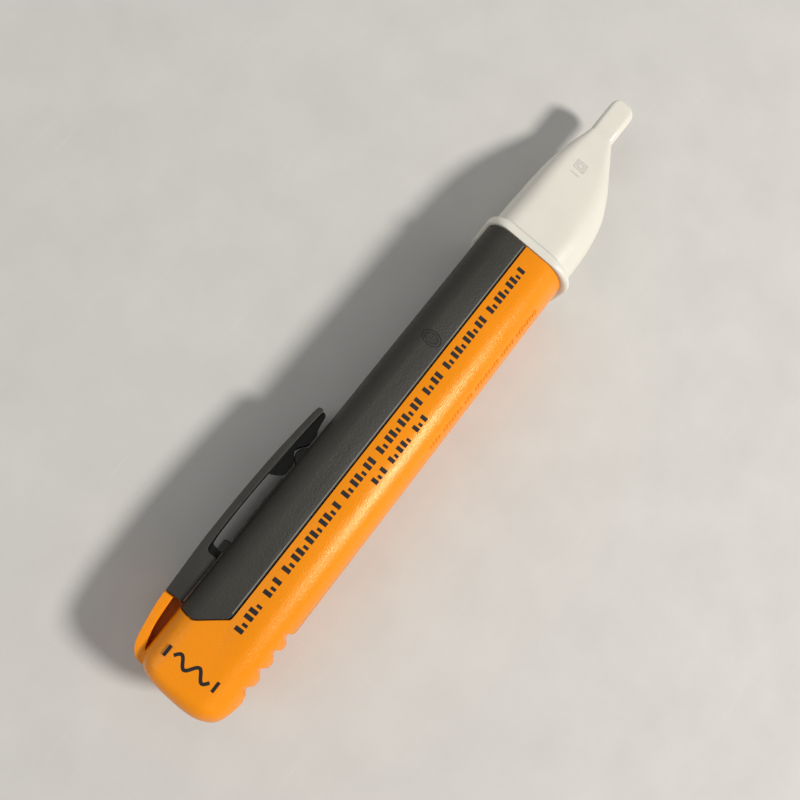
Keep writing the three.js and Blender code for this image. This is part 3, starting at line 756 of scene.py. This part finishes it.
def make_collar():
    """White ring: skirt inside the sleeve, proud bead, and spigot inside the nose."""
    start, end = SLEEVE_END + SEAM_GAP, NOSE_START - COLLAR_GAP
    middle, half = (start + end) / 2, (end - start) / 2
    skirt, spigot, bore = WALL + 0.35, 1.85, 3.2
    spigot_end = NOSE_START + 3
    profile = [(SKIRT_START, skirt), (start - 0.02, skirt), (start, 0.3)]
    for k in range(11):
        a = math.radians(180 - 180 * k / 10)
        profile.append((middle + half * math.cos(a), 0.02 - BEAD * 0.97 * math.sin(a) ** 0.8))
    profile += [(end, 0.3), (end + 0.02, spigot), (spigot_end, spigot), (spigot_end, bore)]
    profile.append((SKIRT_START, bore))
    rings = []
    for x, inset in profile:
        side = max(inset, 0.02)
        grip_inset = inset * GRIP_BEAD / BEAD if inset < 0 else inset
        ring = section(-BODY_HALF + grip_inset, BODY_HALF - inset, side, THICK - side,
                       max(R_GRIP - max(inset, 0), 0.2), max(R_CLIP - max(inset, 0), 0.2), 12, 6)
        rings.append([(x, y, z) for y, z in ring])
    collar = to_object("nose_collar_ring", ring_loft(rings, closed_loop=True))
    finish_piece(collar, "nose", "front_module", ["nose_collar"], 45)


# ---- prints and marks -----------------------------------------------------------------------
INK_TOP = THICK - 0.001
INK_FOOT = THICK - 0.3    # prints reach down into the shell


def tick(x, y, width, height):
    return block(x, x + width, y, y + height, INK_FOOT, INK_TOP)


def print_row(name, x, y, height, pitch, groups):
    """A plain row of ticks in groups, where every third tick is thin and low."""
    bm = bmesh.new()
    for count in groups:
        for k in range(count):
            full = k % 3 != 1
            stroke = pitch * (0.52 if full else 0.36)
            tall = height if full else height * 0.62
            join(bm, tick(x, y, stroke, tall))
            x += pitch * 0.8
        x += pitch * 0.75
    finish_piece(to_object(name, bm), "ink", "sleeve")


def ribbon(name, path, width, finish, body, z0, z1):
    """A flat stroke of even width along a path of (x, y) points."""
    bm = bmesh.new()
    corners = ((1, z1), (-1, z1), (-1, z0), (1, z0))
    rows = []
    for i, (x, y) in enumerate(path):
        ax, ay = path[max(i - 1, 0)]
        bx, by = path[min(i + 1, len(path) - 1)]
        length = math.hypot(bx - ax, by - ay)
        nx, ny = -(by - ay) / length * width / 2, (bx - ax) / length * width / 2
        rows.append([bm.verts.new(at(x + side * nx, y + side * ny, z)) for side, z in corners])
    for a, b in zip(rows, rows[1:]):
        for i in range(4):
            bm.faces.new((a[i], a[(i + 1) % 4], b[(i + 1) % 4], b[i]))
    bm.faces.new(rows[0][::-1])
    bm.faces.new(rows[-1])
    bmesh.ops.recalc_face_normals(bm, faces=bm.faces)
    return finish_piece(to_object(name, bm), finish, body)


def make_prints():
    print_row("print_row_long", 16.9, -1.45, 1.65, 1.55, (5, 3, 12, 7, 10, 4, 10, 9))
    print_row("print_row_short", 50.2, -3.95, 1.35, 1.5, (3, 5, 3))
    wave = [(8.05 + 0.85 * math.sin(2 * math.pi * k / 24), 5.2 - 7.4 * k / 48) for k in range(49)]
    ribbon("print_wave", wave, 0.6, "ink", "sleeve", INK_FOOT, INK_TOP)
    for i, y in enumerate((6.5, -3.4)):
        ribbon(f"print_bar_{i + 1}", [(7.1, y), (9.0, y)], 0.6, "ink", "sleeve", INK_FOOT, INK_TOP)


def flank_row(name, x0, x1, angle, groups):
    """Small raised marks along the rounded edge away from the clip."""
    bm = bmesh.new()
    a = math.radians(angle)
    normal = Vector((0, -math.cos(a), math.sin(a)))
    along = Vector((0, math.sin(a), math.cos(a)))
    centre = Vector((0, -BODY_HALF + R_GRIP, THICK - R_GRIP))
    turn = Matrix((Vector((1, 0, 0)), along, normal)).transposed().to_4x4()
    total = sum(groups) + 0.8 * (len(groups) - 1)
    x, step = x0, (x1 - x0) / total
    for count in groups:
        for k in range(count):
            tall = 0.95 if k % 3 else 0.6
            foot = centre + normal * (R_GRIP - 0.25) + Vector((x, 0, 0))
            size = Matrix.Diagonal((step * 0.55 * MM, tall * MM, 0.62 * MM, 1))
            place = Matrix.Translation(at(*(foot + normal * 0.05)))
            piece = bmesh.new()
            bmesh.ops.create_cube(piece, size=1, matrix=place @ turn @ size)
            join(bm, piece)
            x += step
        x += 0.8 * step
    finish_piece(to_object(name, bm), "yellow", "sleeve")


def nose_stroke(name, path, width):
    """A raised stroke on the nose's upper face."""
    piece = ribbon(name, path, width, "nose", "front_module", 0, 0.32)
    for vertex in piece.data.vertices:
        vertex.co.z += (nose_top(vertex.co.x / MM - X_SHIFT) - 0.25) * MM


def drape(piece):
    """Lets a flat mark follow the body's rounded edge on the clip side."""
    for vertex in piece.data.vertices:
        over = max(0, vertex.co.y / MM - Y_SHIFT - (BODY_HALF - R_CLIP))
        vertex.co.z -= (R_CLIP - math.sqrt(R_CLIP ** 2 - over ** 2)) * MM


def square_path(x, y, half):
    """The corners of a square, the first one again at the end."""
    corners = [(-1, -1), (1, -1), (1, 1), (-1, 1), (-1, -1)]
    return [(x + half * a, y + half * b) for a, b in corners]


def make_marks():
    """Raised double square and a short bar on the nose, a date ring on the grey panel, and a light strip
    along the panel's seam edge as a painted highlight.
    """
    for i, half in enumerate((1.15, 0.6)):
        for k in range(4):
            side = square_path(125.2, 2.6, half)[k:k + 2]
            nose_stroke(f"nose_square_{i + 1}_{k + 1}", side, 0.2)
    nose_stroke("nose_bar", [(122.6, 1.6), (122.6, 3.6)], 0.22)
    low, high = INK_FOOT, THICK - SKIN + 0.01
    for name, wide, tall in (("date_ring", 1.35, 1.95), ("date_ring_inner", 0.85, 1.4)):
        turns = [math.tau * k / 40 for k in range(41)]
        ring = [(77.3 + wide * math.cos(a), 4.6 + tall * math.sin(a)) for a in turns]
        drape(ribbon(name, ring, 0.24, "faint_ink", "sleeve", low, high))
    for k in range(5):
        y = 3.6 + 0.5 * k
        stroke = [(76.85, y), (77.75, y)]
        drape(ribbon(f"date_tick_{k + 1}", stroke, 0.18, "faint_ink", "sleeve", low, high))
    # Light grey strip along the grey panel's seam edge: a painted highlight for the key light on the edge's
    # bevel.
    edge = SEAM_Y + SEAM_GAP / 2 + 0.26
    ribbon("panel_edge_painted_highlight", [(18.6, edge), (SLEEVE_END - 0.3, edge)], 0.16, "rubbed", "sleeve",
           low, THICK - SKIN + 0.006)


# ---- details of the inner pieces ------------------------------------------------------------
def make_small_metal(name, boxes, bevel):
    """One plated piece of the front module, made of several boxes."""
    bm = bmesh.new()
    for sides in boxes:
        join(bm, block(*sides, bevel))
    finish_piece(to_object(name, bm), "steel", "front_module")


LEG_THICK = 0.14          # sheet thickness of a chip's legs


def node_sides(name):
    """A node's box in the part's own layout: x0, x1, y0, y1, z0, z1."""
    low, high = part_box(name)
    return [v for i, shift in enumerate((X_SHIFT, Y_SHIFT, 0))
            for v in (low[i] / MM - shift, high[i] / MM - shift)]


def chip_legs(name, count, z):
    """Gull-wing legs along both long sides of a chip, with their feet at height z on the board."""
    x0, x1, y0, y1, z0, z1 = node_sides(name)
    pitch = (x1 - x0) / count
    middle = (z0 + z1) / 2
    legs = []
    for k in range(count):
        x = x0 + pitch * (k + 0.3)
        for edge, out in ((y0, -1), (y1, 1)):
            a, b, c = edge, edge + 0.25 * out, edge + 0.6 * out
            legs.append((x, x + 0.4 * pitch, min(a, b), max(a, b), min(middle, z), max(middle, z)))
            legs.append((x, x + 0.4 * pitch, min(b, c), max(b, c), z, z + LEG_THICK))
    make_small_metal(f"{name}_legs", legs, 0.03)


def chip_ends(name):
    """Tinned end caps around a chip resistor or capacitor."""
    x0, x1, y0, y1, z0, z1 = node_sides(name)
    skin = 0.03
    ends = [(x0 - skin, x0 + 0.35, y0 - skin, y1 + skin, z0, z1 + skin),
            (x1 - 0.35, x1 + skin, y0 - skin, y1 + skin, z0, z1 + skin)]
    make_small_metal(f"{name}_ends", ends, 0.02)


def cell_rims():
    """Bare metal at both ends of each cell."""
    for name in ("battery_cell_rear", "battery_cell_front"):
        x0, x1, y0, y1, _, _ = node_sides(name)
        radius = (y1 - y0) / 2
        inner, outer = radius - 0.35, radius + 0.02
        for end, x, reach in (("minus", x0 - 0.01, 0.5), ("plus", x1 - 1.75, 0.6)):
            rings = []
            for along, r in ((0, inner), (0, outer), (reach, outer), (reach, inner)):
                rings.append([(x + along, (y0 + y1) / 2 + r * math.cos(math.tau * k / 40),
                               MID_Z + r * math.sin(math.tau * k / 40)) for k in range(40)])
            rim = to_object(f"{name}_{end}_rim", ring_loft(rings, closed_loop=True))
            finish_piece(rim, "steel", "front_module")


def make_inner_details():
    board_bottom, board_top = node_sides("main_pcb")[4:]
    chip_legs("microcontroller", 4, board_top + 0.01)
    chip_legs("amplifier_chip", 4, board_bottom - 0.15)
    for i in range(4):
        chip_ends(f"resistor_{i + 1}")
    for i in range(3):
        chip_ends(f"capacitor_{i + 1}")
    cell_rims()


# ---- everything -----------------------------------------------------------------------------
def dress_cad_nodes():
    """Materials for every CAD node, and small rounded edges on those that show."""
    looks = {
        "battery_tray": "natural", "latch_arm": "clip", "battery_cell_rear": "cell",
        "battery_cell_front": "cell", "rear_contact_spring": "steel", "contact_strap": "steel",
        "front_contact": "steel", "main_pcb": "board", "pcb_screw_1": "steel", "pcb_screw_2": "steel",
        "switch_body": "black", "switch_plunger": "natural", "buzzer_case": "black", "buzzer_disc": "brass",
        "microcontroller": "black", "amplifier_chip": "black", "status_led": "lens",
        "sensor_antenna": "copper", "power_button": "button", "outer_sleeve": "yellow",
        "grey_panel": "grey", "pocket_clip": "clip", "nose_cone": "nose", "nose_collar": "nose",
    }
    for name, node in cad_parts.items():
        finish = looks.get(name, "ceramic")
        node.data.materials.clear()
        node.data.materials.append(FINISH[finish])
        for polygon in node.data.polygons:
            polygon.use_smooth = True
            polygon.material_index = 0
        node.data.set_sharp_from_angle(angle=math.radians(32))
        if node.hide_render:
            continue
        edges = node.modifiers.new("edges", "BEVEL")
        edges.width = 0.08 * MM
        edges.segments = 2
        edges.angle_limit = math.radians(40)


add_camera()
add_studio()
make_outer_sleeve()
make_grey_panel()
make_pocket_clip()
make_nose_cone()
make_collar()
make_prints()
make_marks()
make_inner_details()
flank_row("flank_marks", 62, 96, 39, (4, 7, 3, 9, 5, 8))
dress_cad_nodes()
